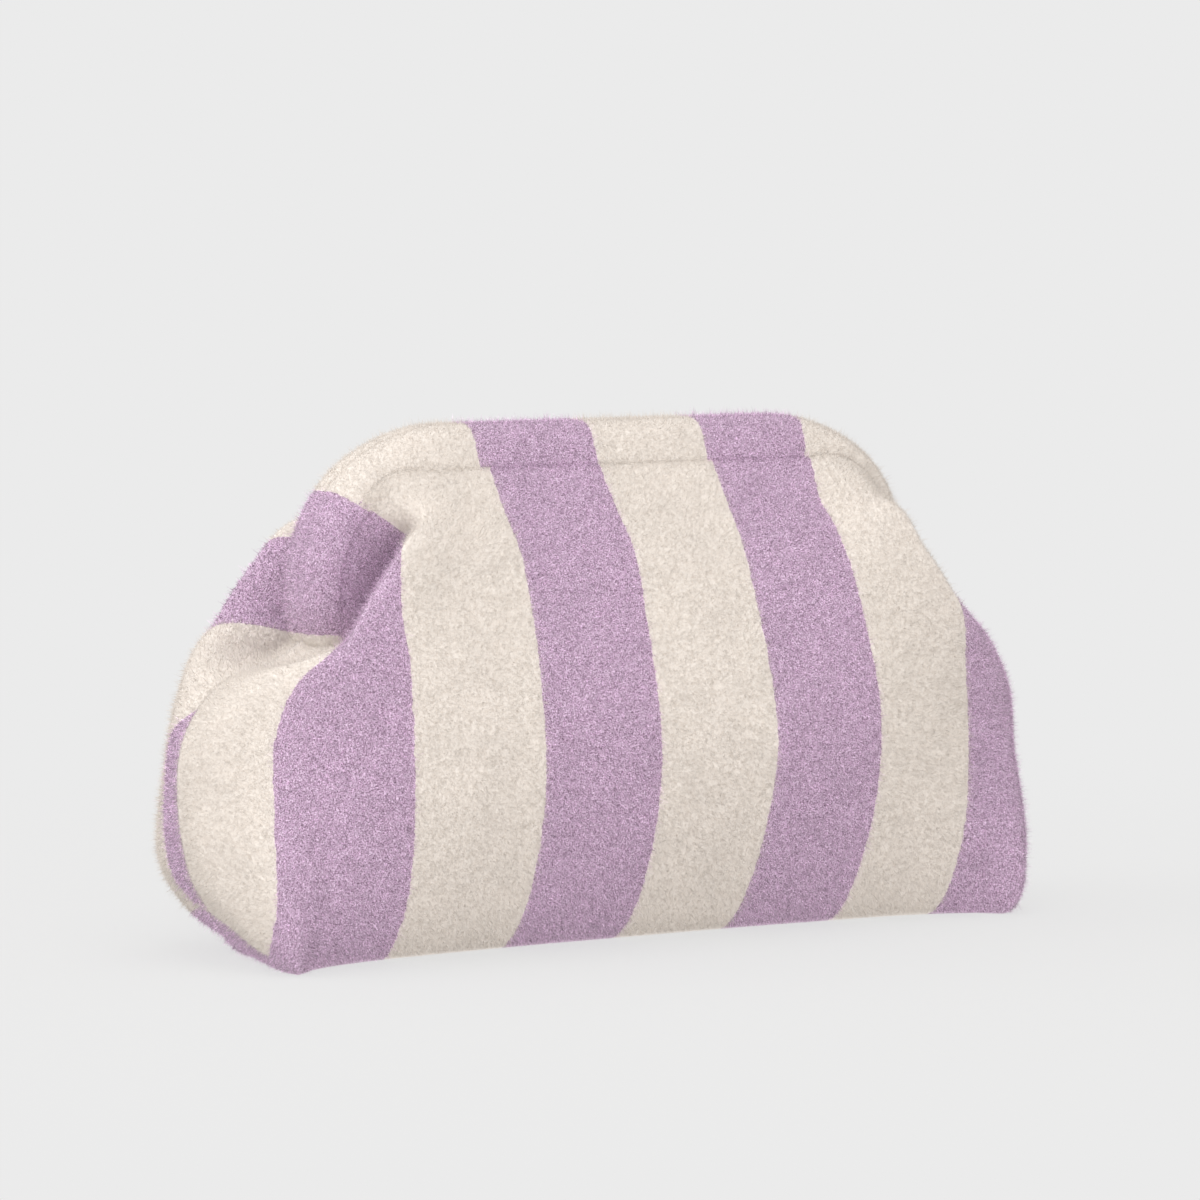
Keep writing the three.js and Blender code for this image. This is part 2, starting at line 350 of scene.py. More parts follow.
@dataclass(frozen=True)
class PlushFinish:
    """Short dense plush: brushed knit whose pile scatters light, so it looks soft and has no gloss.

    The grain is drawn coarser than a fibre, which is too fine to show.
    """

    name: str
    lilac: str = "#DFBAD8"
    lilac_pale: str = "#E4D0E5"
    cream: str = "#E1DAD3"
    grain_mm: float = 0.5
    lilac_grain: float = 0.55
    cream_grain: float = 0.06
    # Painted shade at the pile's roots, on the knit and on the blades' lower ends, and a painted highlight
    # at the blades' tips, as factors on the colour
    lilac_root_shade: float = 0.62
    cream_root_shade: float = 0.95
    lilac_spread: float = 0.55
    cream_spread: float = 0.1
    lilac_tip_highlight: float = 1.25
    cream_tip_highlight: float = 1.04
    edge_wander_mm: float = 1.6
    wander_size_mm: float = 3.0
    mottle_mm: float = 14.0
    mottle_depth: float = 0.03
    mottle_low: float = 0.25
    mottle_high: float = 0.75
    roughness: float = 0.95
    specular: float = 0.1
    sheen: float = 0.25
    sheen_roughness: float = 0.5
    passed_light: float = 0.4

    def material(self, strands: bool) -> bpy.types.Material:
        """Make the finish for the pile's strands, or for the knit under them.

        Args:
            strands: True for the strands, which carry their own tone and root-to-tip place.

        Returns:
            The material.
        """
        material = bpy.data.materials.new(self.name + ("_pile" if strands else "_knit"))
        material.use_nodes = True
        tree = material.node_tree
        tree.nodes.clear()
        place = add_node(tree, "ShaderNodeTexCoord").outputs["Object"]
        stripe = add_node(tree, "ShaderNodeAttribute", {"attribute_name": STRIPE}).outputs["Fac"]
        wander = add_node(tree, "ShaderNodeTexNoise", None,
                          {"Vector": place, "Scale": 1.0 / (self.wander_size_mm * MM),
                           "Detail": EDGE_OCTAVES}).outputs["Fac"]
        centred = add_node(tree, "ShaderNodeMath", {"operation": "SUBTRACT"},
                           {0: wander, 1: NOISE_MIDDLE}).outputs[0]
        shifted = add_node(tree, "ShaderNodeMath", {"operation": "MULTIPLY_ADD"},
                           {0: centred, 1: self.edge_wander_mm / STRIPE_PERIOD, 2: stripe}).outputs[0]
        phase = add_node(tree, "ShaderNodeMath", {"operation": "FRACT"}, {0: shifted}).outputs[0]
        lilac_mask = add_node(tree, "ShaderNodeMath", {"operation": "GREATER_THAN"},
                              {0: phase, 1: CREAM_WIDTH / STRIPE_PERIOD}).outputs[0]
        grain = add_node(tree, "ShaderNodeTexNoise", None,
                         {"Vector": place, "Scale": 1.0 / (self.grain_mm * MM),
                          "Detail": GRAIN_OCTAVES}).outputs["Fac"]
        pale = add_node(tree, "ShaderNodeMapRange", None,
                        {"Value": grain, "From Min": NOISE_LOW, "From Max": NOISE_HIGH}).outputs["Result"]
        mauve = add_node(tree, "ShaderNodeMix", {"data_type": "RGBA"},
                         {0: pale, 6: linear_from_hex(self.lilac),
                          7: linear_from_hex(self.lilac_pale)}).outputs[2]
        dyed = add_node(tree, "ShaderNodeMix", {"data_type": "RGBA"},
                        {0: lilac_mask, 6: linear_from_hex(self.cream), 7: mauve}).outputs[2]
        mottle = add_node(tree, "ShaderNodeTexNoise", None,
                          {"Vector": place, "Scale": 1.0 / (self.mottle_mm * MM),
                           "Detail": MOTTLE_OCTAVES}).outputs["Fac"]
        brightness = add_node(tree, "ShaderNodeMapRange", None,
                              {"Value": mottle, "From Min": self.mottle_low, "From Max": self.mottle_high,
                               "To Min": 1.0 - self.mottle_depth,
                               "To Max": 1.0 + self.mottle_depth}).outputs["Result"]
        depth = add_node(tree, "ShaderNodeMix", {"data_type": "FLOAT"},
                         {0: lilac_mask, 2: self.cream_grain, 3: self.lilac_grain}).outputs[0]
        speck = add_node(tree, "ShaderNodeMapRange", None,
                         {"Value": grain, "From Min": NOISE_LOW, "From Max": NOISE_HIGH,
                          "To Min": -1.0, "To Max": 1.0}).outputs["Result"]
        grained = add_node(tree, "ShaderNodeMath", {"operation": "MULTIPLY_ADD"},
                           {0: speck, 1: depth, 2: 1.0}).outputs[0]
        brightness = add_node(tree, "ShaderNodeMath", {"operation": "MULTIPLY"},
                              {0: brightness, 1: grained}).outputs[0]
        # Painted shade: the knit and the blades' roots are darkened where the pile shades them, the lilac
        # deeper than the cream
        root = add_node(tree, "ShaderNodeMix", {"data_type": "FLOAT"},
                        {0: lilac_mask, 2: self.cream_root_shade, 3: self.lilac_root_shade}).outputs[0]
        if strands:
            tone = add_node(tree, "ShaderNodeAttribute", {"attribute_name": TONE}).outputs["Fac"]
            swing = add_node(tree, "ShaderNodeMapRange", None,
                             {"Value": tone, "To Min": -1.0, "To Max": 1.0}).outputs["Result"]
            spread = add_node(tree, "ShaderNodeMix", {"data_type": "FLOAT"},
                              {0: lilac_mask, 2: self.cream_spread, 3: self.lilac_spread}).outputs[0]
            toned = add_node(tree, "ShaderNodeMath", {"operation": "MULTIPLY_ADD"},
                             {0: swing, 1: spread, 2: 1.0}).outputs[0]
            # Painted shade and highlight along each blade: darkest at its root, lighter than the dye at its
            # tip
            tip = add_node(tree, "ShaderNodeAttribute", {"attribute_name": TIP}).outputs["Fac"]
            light = add_node(tree, "ShaderNodeMix", {"data_type": "FLOAT"},
                             {0: lilac_mask, 2: self.cream_tip_highlight, 3: self.lilac_tip_highlight}).outputs[0]
            grown = add_node(tree, "ShaderNodeMapRange", None,
                             {"Value": tip, "To Min": root, "To Max": light}).outputs["Result"]
            root = add_node(tree, "ShaderNodeMath", {"operation": "MULTIPLY"},
                            {0: toned, 1: grown}).outputs[0]
        brightness = add_node(tree, "ShaderNodeMath", {"operation": "MULTIPLY"},
                              {0: brightness, 1: root}).outputs[0]
        coloured = add_node(tree, "ShaderNodeVectorMath", {"operation": "SCALE"},
                            {0: dyed, "Scale": brightness}).outputs[0]
        shader = add_node(tree, "ShaderNodeBsdfPrincipled", None,
                          {"Base Color": coloured, "Roughness": self.roughness,
                           "Specular IOR Level": self.specular, "Sheen Weight": self.sheen,
                           "Sheen Roughness": self.sheen_roughness}).outputs[0]
        if strands:
            through = add_node(tree, "ShaderNodeBsdfTranslucent", None, {"Color": coloured}).outputs[0]
            shader = add_node(tree, "ShaderNodeMixShader", None,
                              {0: self.passed_light, 1: shader, 2: through}).outputs[0]
        add_node(tree, "ShaderNodeOutputMaterial", None, {"Surface": shader})
        return material


@dataclass(frozen=True)
class SteelFinish:
    """Plain cold-rolled steel: grey metal with fine drawn lines along the strip."""

    name: str = "cold_rolled_steel"
    light: str = "#B9BBBE"
    dark: str = "#8F9296"
    line_mm: float = 0.6
    line_stretch: float = 0.05
    smoothest: float = 0.28
    roughest: float = 0.48
    bump: float = 0.2
    bump_mm: float = 0.05

    def material(self) -> bpy.types.Material:
        """Make the steel of the hidden frame.

        Returns:
            The material.
        """
        material = bpy.data.materials.new(self.name)
        material.use_nodes = True
        tree = material.node_tree
        tree.nodes.clear()
        place = add_node(tree, "ShaderNodeTexCoord").outputs["Object"]
        drawn = add_node(tree, "ShaderNodeMapping", None,
                         {"Vector": place, "Scale": (self.line_stretch, 1.0, 1.0)}).outputs["Vector"]
        lines = add_node(tree, "ShaderNodeTexNoise", None,
                         {"Vector": drawn, "Scale": 1.0 / (self.line_mm * MM),
                          "Detail": MOTTLE_OCTAVES}).outputs["Fac"]
        colour = add_node(tree, "ShaderNodeMix", {"data_type": "RGBA"},
                          {0: lines, 6: linear_from_hex(self.dark),
                           7: linear_from_hex(self.light)}).outputs[2]
        rough = add_node(tree, "ShaderNodeMapRange", None,
                         {"Value": lines, "To Min": self.smoothest,
                          "To Max": self.roughest}).outputs["Result"]
        bump = add_node(tree, "ShaderNodeBump", None,
                        {"Strength": self.bump, "Distance": self.bump_mm * MM,
                         "Height": lines}).outputs["Normal"]
        shader = add_node(tree, "ShaderNodeBsdfPrincipled", None,
                          {"Base Color": colour, "Metallic": 1.0, "Roughness": rough, "Normal": bump})
        add_node(tree, "ShaderNodeOutputMaterial", None, {"Surface": shader.outputs[0]})
        return material


@dataclass
class Pile:
    """The plush's pile: short leaning blades that Geometry Nodes plant on a piece of cloth.

    A blade is drawn 0.12 to 0.21 mm wide, several times a real fibre, so that fewer of them hide the
    knit. The cover sets that width: it is width times length, added up over the blades on an area of
    cloth and divided by that area.
    """

    length: float = 1.8 * MM
    shortest: float = 0.7
    longest: float = 2.6
    rarity: float = 8.0
    cover: float = 1.5
    lean: float = 0.8
    fall: float = 0.35
    swirl: float = 0.8
    swirl_size: float = 6.0 * MM
    floor_gap: float = 0.3 * MM
    own_shading: float = 0.1
    tip: tuple[float, float, float] = (-0.05, -0.2, 1.0)
    tree: bpy.types.NodeTree | None = None
    blade: bpy.types.Object | None = None

    def make_blade(self) -> bpy.types.Object:
        """Make the blade that is planted: one triangle, one unit tall and wide, leaning at its tip.

        Returns:
            The blade, with its root-to-tip attribute.
        """
        points = np.array([(-0.5, 0.0, 0.0), (0.5, 0.0, 0.0), self.tip])
        blade = mesh_object("pile_blade", points, np.array([[0, 2, 1]]))
        store(blade, TIP, "POINT", points[:, 2])
        return blade

    def make_tree(self) -> bpy.types.NodeTree:
        """Build the tree that plants, leans, realizes and dresses the blades.

        Returns:
            The geometry tree, with named inputs for its sizes.
        """
        tree = bpy.data.node_groups.new("plush_pile", "GeometryNodeTree")
        face = tree.interface
        face.new_socket("Cloth", in_out="INPUT", socket_type="NodeSocketGeometry")
        for name in ("Density", "Length", "Width", "Lean", "Fall", "Swirl", "Swirl Size", "Floor Gap"):
            face.new_socket(name, in_out="INPUT", socket_type="NodeSocketFloat")
        face.new_socket("Seed", in_out="INPUT", socket_type="NodeSocketInt")
        face.new_socket("Blade", in_out="INPUT", socket_type="NodeSocketObject")
        face.new_socket("Finish", in_out="INPUT", socket_type="NodeSocketMaterial")
        face.new_socket("Pile", in_out="OUTPUT", socket_type="NodeSocketGeometry")
        given = add_node(tree, "NodeGroupInput").outputs
        planted, normal = self.plant(tree, given)
        strand = self.direction(tree, given, normal)
        upright = add_node(tree, "FunctionNodeAlignRotationToVector", {"axis": "Z"},
                           {"Vector": strand}).outputs[0]
        facing = add_node(tree, "FunctionNodeAlignRotationToVector", {"axis": "Y", "pivot_axis": "Z"},
                          {"Rotation": upright, "Vector": normal}).outputs[0]
        trim = add_node(tree, "GeometryNodeInputNamedAttribute", {"data_type": "FLOAT"},
                        {"Name": TRIM}).outputs[0]
        chance = add_node(tree, "FunctionNodeRandomValue", {"data_type": "FLOAT"},
                          {2: 0.0, 3: 1.0, "Seed": LENGTH_SEED}).outputs[1]
        rare = add_node(tree, "ShaderNodeMath", {"operation": "POWER"},
                        {0: chance, 1: self.rarity}).outputs[0]
        grown = add_node(tree, "ShaderNodeMapRange", None,
                         {"Value": rare, "To Min": self.shortest, "To Max": self.longest}).outputs["Result"]
        cut = add_node(tree, "ShaderNodeMath", {"operation": "MULTIPLY"}, {0: trim, 1: grown}).outputs[0]
        tall = add_node(tree, "ShaderNodeMath", {"operation": "MULTIPLY"},
                        {0: cut, 1: given["Length"]}).outputs[0]
        size = add_node(tree, "ShaderNodeCombineXYZ", None,
                        {0: given["Width"], 1: tall, 2: tall}).outputs[0]
        blade = add_node(tree, "GeometryNodeObjectInfo", None,
                         {"Object": given["Blade"]}).outputs["Geometry"]
        blades = add_node(tree, "GeometryNodeInstanceOnPoints", None,
                          {"Points": planted, "Instance": blade, "Rotation": facing,
                           "Scale": size}).outputs[0]
        real = add_node(tree, "GeometryNodeRealizeInstances", None, {"Geometry": blades}).outputs[0]
        lifted = self.above_floor(tree, given, real)
        softened = self.soften(tree, lifted)
        dressed = add_node(tree, "GeometryNodeSetMaterial", None,
                           {"Geometry": softened, "Material": given["Finish"]}).outputs[0]
        add_node(tree, "NodeGroupOutput", None, {0: dressed})
        return tree

    def plant(self, tree: bpy.types.NodeTree,
              given: Any) -> tuple[bpy.types.NodeSocket, bpy.types.NodeSocket]:
        """Add the nodes that scatter the roots over the cloth.

        Args:
            tree: The tree being built.
            given: Sockets of the tree's inputs.

        Returns:
            The roots with their stored tone and normal, and the field of normals.
        """
        share = add_node(tree, "GeometryNodeInputNamedAttribute", {"data_type": "FLOAT"},
                         {"Name": PILE}).outputs[0]
        density = add_node(tree, "ShaderNodeMath", {"operation": "MULTIPLY"},
                           {0: share, 1: given["Density"]}).outputs[0]
        roots = add_node(tree, "GeometryNodeDistributePointsOnFaces", {"distribute_method": "RANDOM"},
                         {"Mesh": given["Cloth"], "Density": density, "Seed": given["Seed"]})
        normal = roots.outputs["Normal"]
        tone = add_node(tree, "FunctionNodeRandomValue", {"data_type": "FLOAT"},
                        {2: 0.0, 3: 1.0, "Seed": TONE_SEED}).outputs[1]
        toned = add_node(tree, "GeometryNodeStoreNamedAttribute",
                         {"data_type": "FLOAT", "domain": "POINT"},
                         {"Geometry": roots.outputs["Points"], "Name": TONE, "Value": tone}).outputs[0]
        kept = add_node(tree, "GeometryNodeStoreNamedAttribute",
                        {"data_type": "FLOAT_VECTOR", "domain": "POINT"},
                        {"Geometry": toned, "Name": ROOT_NORMAL, "Value": normal}).outputs[0]
        return kept, normal

    def direction(self, tree: bpy.types.NodeTree, given: Any,
                  normal: bpy.types.NodeSocket) -> bpy.types.NodeSocket:
        """Add the nodes that lean each blade: at random, with its neighbours, and downwards.

        Args:
            tree: The tree being built.
            given: Sockets of the tree's inputs.
            normal: The field of normals at the roots.

        Returns:
            The field of directions in which the blades stand.
        """
        where = add_node(tree, "GeometryNodeInputPosition").outputs[0]
        fine = add_node(tree, "ShaderNodeMath", {"operation": "DIVIDE"},
                        {0: 1.0, 1: given["Swirl Size"]}).outputs[0]
        field = add_node(tree, "ShaderNodeTexNoise", None,
                         {"Vector": where, "Scale": fine, "Detail": GRAIN_OCTAVES}).outputs["Color"]
        centred = add_node(tree, "ShaderNodeVectorMath", {"operation": "SUBTRACT"},
                           {0: field, 1: (NOISE_MIDDLE,) * 3}).outputs[0]
        swirl = add_node(tree, "ShaderNodeVectorMath", {"operation": "SCALE"},
                         {0: centred, "Scale": given["Swirl"]}).outputs[0]
        own = add_node(tree, "FunctionNodeRandomValue", {"data_type": "FLOAT_VECTOR"},
                       {0: (-1.0, -1.0, -1.0), 1: (1.0, 1.0, 1.0), "Seed": LEAN_SEED}).outputs[0]
        mixed = add_node(tree, "ShaderNodeVectorMath", {"operation": "ADD"}, {0: swirl, 1: own}).outputs[0]
        down = add_node(tree, "ShaderNodeVectorMath", {"operation": "SCALE"},
                        {0: (0.0, 0.0, -1.0), "Scale": given["Fall"]}).outputs[0]
        lay = add_node(tree, "ShaderNodeVectorMath", {"operation": "ADD"}, {0: mixed, 1: down}).outputs[0]
        inward = add_node(tree, "ShaderNodeVectorMath", {"operation": "PROJECT"},
                          {0: lay, 1: normal}).outputs[0]
        flat = add_node(tree, "ShaderNodeVectorMath", {"operation": "SUBTRACT"},
                        {0: lay, 1: inward}).outputs[0]
        leant = add_node(tree, "ShaderNodeVectorMath", {"operation": "SCALE"},
                         {0: flat, "Scale": given["Lean"]}).outputs[0]
        return add_node(tree, "ShaderNodeVectorMath", {"operation": "ADD"},
                        {0: normal, 1: leant}).outputs[0]

    def above_floor(self, tree: bpy.types.NodeTree, given: Any,
                    real: bpy.types.NodeSocket) -> bpy.types.NodeSocket:
        """Add the nodes that press the blades under the base flat on the floor.

        Args:
            tree: The tree being built.
            given: Sockets of the tree's inputs.
            real: The realized blades.

        Returns:
            The blades, none below the gap over the floor.
        """
        where = add_node(tree, "GeometryNodeInputPosition").outputs[0]
        parts = add_node(tree, "ShaderNodeSeparateXYZ", None, {0: where}).outputs
        height = add_node(tree, "ShaderNodeMath", {"operation": "MAXIMUM"},
                          {0: parts["Z"], 1: given["Floor Gap"]}).outputs[0]
        placed = add_node(tree, "ShaderNodeCombineXYZ", None,
                          {0: parts["X"], 1: parts["Y"], 2: height}).outputs[0]
        return add_node(tree, "GeometryNodeSetPosition", None,
                        {"Geometry": real, "Position": placed}).outputs[0]

    def soften(self, tree: bpy.types.NodeTree, blades: bpy.types.NodeSocket) -> bpy.types.NodeSocket:
        """Add the nodes that shade each blade mostly with the normal of the cloth at its root.

        Args:
            tree: The tree being built.
            blades: The realized blades.

        Returns:
            The blades with their shading normals.
        """
        root = add_node(tree, "GeometryNodeInputNamedAttribute", {"data_type": "FLOAT_VECTOR"},
                        {"Name": ROOT_NORMAL}).outputs[0]
        own = add_node(tree, "GeometryNodeInputNormal").outputs[0]
        some = add_node(tree, "ShaderNodeVectorMath", {"operation": "SCALE"},
                        {0: own, "Scale": self.own_shading}).outputs[0]
        mixed = add_node(tree, "ShaderNodeVectorMath", {"operation": "ADD"}, {0: root, 1: some}).outputs[0]
        shaded = add_node(tree, "ShaderNodeVectorMath", {"operation": "NORMALIZE"}, {0: mixed}).outputs[0]
        node = add_node(tree, "GeometryNodeSetMeshNormal", {"mode": "FREE", "domain": "POINT"})
        tree.links.new(blades, node.inputs["Mesh"])
        tree.links.new(shaded, node.inputs["Custom Normal"])
        return node.outputs[0]

    def grow(self, cloth: bpy.types.Object, name: str, density: float, seed: int,
             finish: bpy.types.Material, part: np.ndarray) -> bpy.types.Object:
        """Plant one piece of pile on a piece of cloth.

        Args:
            cloth: The cloth, with its stripe, pile and trim attributes.
            name: Name of the new piece.
            density: How many blades stand on a square metre.
            seed: Seed of the roots' places.
            finish: Material of the blades.
            part: True for each face of the cloth that this piece covers.

        Returns:
            The pile as a plain mesh.
        """
        if self.tree is None:
            self.blade = self.make_blade()
            self.tree = self.make_tree()
        host = bpy.data.objects.new(name + "_host", cloth.data.copy())
        bpy.context.scene.collection.objects.link(host)
        share = np.empty(len(part), dtype=np.float32)
        shares = host.data.attributes[PILE].data
        shares.foreach_get("value", share)
        share *= part
        shares.foreach_set("value", share)
        modifier = host.modifiers.new("pile", "NODES")
        modifier.node_group = self.tree
        values = {"Density": density, "Length": self.length, "Width": self.cover / (density * self.length),
                  "Lean": self.lean, "Fall": self.fall, "Swirl": self.swirl, "Swirl Size": self.swirl_size,
                  "Floor Gap": self.floor_gap, "Seed": seed, "Blade": self.blade, "Finish": finish}
        for item in self.tree.interface.items_tree:
            if item.in_out == "INPUT" and item.name in values:
                modifier[item.identifier] = values[item.name]
        graph = bpy.context.evaluated_depsgraph_get()
        mesh = bpy.data.meshes.new_from_object(host.evaluated_get(graph), depsgraph=graph)
        mesh.name = name
        bpy.data.objects.remove(host)
        piece = bpy.data.objects.new(name, mesh)
        bpy.context.scene.collection.objects.link(piece)
        return piece

    def clear(self) -> None:
        """Remove the blade that was planted, which isn't a piece of the bag."""
        if self.blade is not None:
            bpy.data.objects.remove(self.blade)


def walled(points: np.ndarray, inner: np.ndarray, flip: bool,
           wrap: bool) -> tuple[np.ndarray, np.ndarray, int]:
    """Close a grid of cloth and its inner face into one wall.

    Args:
        points: Outer face as a grid of points.
        inner: Inner face, on the same grid.
        flip: Turn every face round.
        wrap: Join the grid's last column to its first one.

    Returns:
        Vertices, faces of four corners, and the number of outer faces, which come first.
    """
    rows, columns = points.shape[:2]
    number = np.arange(rows * columns).reshape(rows, columns)
    if wrap:
        number = np.concatenate([number, number[:, :1]], axis=1)
    corners = (number[:-1, :-1], number[:-1, 1:], number[1:, 1:], number[1:, :-1])
    outer = np.stack(corners, axis=-1).reshape(-1, 4)
    offset = rows * columns
    if wrap:
        loops = [number[0], number[-1, ::-1]]
    else:
        loops = [np.concatenate([number[0], number[1:, -1], number[-1, -2::-1], number[-2::-1, 0]])]
    bands = [np.stack([loop[1:], loop[:-1], loop[:-1] + offset, loop[1:] + offset], axis=-1)
             for loop in loops]
    faces = np.concatenate([outer, outer[:, ::-1] + offset] + bands)
    vertices = np.concatenate([points.reshape(-1, 3), inner.reshape(-1, 3)])
    return vertices, faces[:, ::-1] if flip else faces, len(outer)


def grid_normals(points: np.ndarray, wrap: bool) -> np.ndarray:
    """Normals of a grid of points, along its columns' step crossed with its rows' step.

    Args:
        points: The grid.
        wrap: True where the last column meets the first one.

    Returns:
        Unit normals on the same grid.
    """
    down = np.gradient(points, axis=0)
    if wrap:
        across = np.roll(points, -1, axis=1) - np.roll(points, 1, axis=1)
    else:
        across = np.gradient(points, axis=1)
    return unit(np.cross(across, down))


def evened(grid: np.ndarray, passes: int) -> np.ndarray:
    """Round the corners of a field by averaging neighbours, and keep its border.

    Args:
        grid: One value for each point of a grid.
        passes: How many times neighbours are averaged along each axis.

    Returns:
        The rounded field.
    """
    field = grid.copy()
    for _ in range(passes):
        field[1:-1] = 0.25 * (field[:-2] + field[2:]) + 0.5 * field[1:-1]
        field[:, 1:-1] = 0.25 * (field[:, :-2] + field[:, 2:]) + 0.5 * field[:, 1:-1]
    return field


@dataclass
class Panel:
    """One half of the bag's body: a panel of plush lofted from the casing to the middle of the base."""

    side: Side
    name: str
    pile_name: str
    density: float
    seed: int
    cloth: float = 3.0 * MM
    seam_gap: float = 0.2 * MM
    across: int = 128
    down: int = 66
    patches: int = 4
    wave: float = 0.6 * MM
    wave_length: float = 58.0 * MM
    wave_shares: tuple[float, float] = (0.65, 0.35)
    broad_slope: float = 0.7
    fine_steps: tuple[float, float] = (1.9, 1.3)
    seam_fade: float = 12.0
    base_share: float = 0.22
    base_rise: float = 1.2 * MM
    base_trim: float = 0.6
    base_draw: float = 0.06
    base_draw_from: float = 110.0
    base_draw_run: float = 35.0
    stripe_passes: int = 10
    flat: tuple[float, float] = (0.392, 0.215)
    flat_area: float = 0.0725
    bar_half: float = 67.0
    corner_up: float = 128.5
    arm_out: float = 112.0
    laps: tuple[float, ...] = (3.5, 3.5, 3.5, 8.0, 5.0, 3.5, 3.5, 3.5, 3.5)
    lap_depth: float = 0.4
    lap_slope: float = 0.25
    corner_lift: tuple[float, float, float] = (2.0, 6.0, 9.0)
    corner_tuck: tuple[float, float, float] = (-2.5, 1.0, 7.0)

    def knots(self) -> np.ndarray:
        """Give the fold points of all ribs.

        Returns:
            Points in metres: ribs along the first axis, from the left seam to the right one.
        """
        quarter = np.array([rib[1:] for rib in RIBS], dtype=float)
        if self.side is Side.BACK:
            corner = np.array([rib.corner for rib in RIBS])
            lines = (RIM_LINE, LOW_LINE, EDGE_LINE)
            for line, lift, tuck in zip(lines, self.corner_lift, self.corner_tuck):
                quarter[:, line, 2] += lift * corner
                quarter[:, line, 0] -= tuck * corner
        stitch = quarter[:, STITCH_LINE]
        around = np.arctan2(np.maximum(stitch[:, 0] - self.bar_half, 0.0),
                            np.maximum(stitch[:, 2] - self.corner_up, 0.0))
        around[stitch[:, 0] > self.arm_out] = 0.0
        lap = np.array(self.laps)
        drop = self.lap_depth * np.cos(around) + self.lap_slope * (lap - lap[0])
        stitch += np.stack([lap * np.sin(around), -drop, lap * np.cos(around)], axis=-1)
        stitch[:, 1] = np.maximum(stitch[:, 1], self.seam_gap / MM)
        left, right = quarter.copy(), quarter.copy()
        for half, end in ((left, End.LEFT), (right, End.RIGHT)):
            for rib, line, offset in MOVED[self.side, end]:
                half[rib, line] += offset
        left[:, :, 0] *= -1.0
        return np.concatenate([left[:0:-1], right]) * MM

    def outer(self) -> np.ndarray:
        """Loft the outer face.

        Returns:
            Points in metres: ribs along the first axis, from the left seam, and down each rib.
        """
        lines = smooth_path(self.knots(), self.across)
        grid = smooth_path(lines.transpose(1, 0, 2), self.down).transpose(1, 0, 2).copy()
        grid[:, :, 1] = np.maximum(grid[:, :, 1], self.seam_gap)
        grid[:, :, 2] = np.maximum(grid[:, :, 2], 0.0)
        grid[:, :, 1] *= self.side.value
        outward = grid_normals(grid, False) * (-1.0 if self.side is Side.BACK else 1.0)
        return leaned(grid + outward * self.undulation(grid)[:, :, None])

    def undulation(self, grid: np.ndarray) -> np.ndarray:
        """Give the soft unevenness of the stuffed cloth, which fades out at the stitch line and the base.

        Args:
            grid: The smooth outer face.

        Returns:
            How far each point stands out, in metres.
        """
        along = grid[:, :, 0] / self.wave_length
        up = grid[:, :, 2] / self.wave_length
        step_along, step_up = self.fine_steps
        broad = np.sin(2.0 * math.pi * (along + self.broad_slope * up) + self.seed)
        fine = np.sin(2.0 * math.pi * (step_along * along - step_up * up) + 2.0 * self.seed)
        line = np.linspace(0.0, FOLD_LINES - 1.0, self.down + 1)
        fade = np.clip(line, 0.0, 1.0) * np.clip(EDGE_LINE - 1.0 - line, 0.0, 1.0)
        from_left = np.arange(self.across + 1)
        seam = np.clip(np.minimum(from_left, from_left[::-1]) / self.seam_fade, 0.0, 1.0)
        broad_share, fine_share = self.wave_shares
        return self.wave * (broad_share * broad + fine_share * fine) * fade[None, :] * seam[:, None]

    def stripes(self, grid: np.ndarray) -> np.ndarray:
        """Place the cloth's stripes on the grid.

        Args:
            grid: The outer face.

        Returns:
            Stripe coordinate of each point, whole where a cream stripe starts.
        """
        left, right = (np.array(half, dtype=float) for half in STRIPES[self.side])
        table = np.concatenate([-left[:, :0:-1], right], axis=1)
        rib_place = np.linspace(0.0, table.shape[1] - 1.0, self.across + 1)
        by_line = np.array([np.interp(rib_place, np.arange(table.shape[1]), row) for row in table])
        line_place = np.linspace(0.0, FOLD_LINES - 1.0, self.down + 1)
        values = np.array([np.interp(line_place, STRIPE_LINES, by_line[:, k])
                           for k in range(self.across + 1)])
        values = evened(values, self.stripe_passes)
        on_base = line_place > EDGE_LINE + PAST_EDGE
        across = grid[:, :, 0] / MM
        out = (np.abs(across) - self.base_draw_from) / self.base_draw_run
        shrink = 1.0 - self.base_draw * np.clip(out, 0.0, 1.0)
        values[:, on_base] = (across * shrink)[:, on_base]
        return (values - STRIPE_START) / STRIPE_PERIOD

    def build(self) -> bpy.types.Object:
        """Build the panel as one closed wall of cloth.

        Returns:
            The panel, with its stripe, pile and trim attributes.
        """
        grid = self.outer()
        stripes = self.stripes(grid)
        flip = self.side is Side.BACK
        normals = grid_normals(grid, False) * (-1.0 if flip else 1.0)
        inward = normals.copy()
        inward[[0, -1], :, 1] = 0.0
        inward[:, -1, 1] = 0.0
        inner = grid - unit(inward) * self.cloth
        depth = np.maximum(inner[:, :, 1] * self.side.value, self.seam_gap)
        inner[:, :, 1] = depth * self.side.value
        points, faces, outer_count = walled(grid, inner, flip, False)
        piece = mesh_object(self.name, points, faces)
        store(piece, STRIPE, "POINT", np.concatenate([stripes.ravel(), stripes.ravel()]))
        height = points[faces[:, :4], 2].max(axis=1)
        share = np.where(height < self.base_rise, self.base_share, 1.0)
        share[outer_count:] = 0.0
        store(piece, PILE, "FACE", share)
        store(piece, TRIM, "FACE", np.where(height < self.base_rise, self.base_trim, 1.0))
        return piece

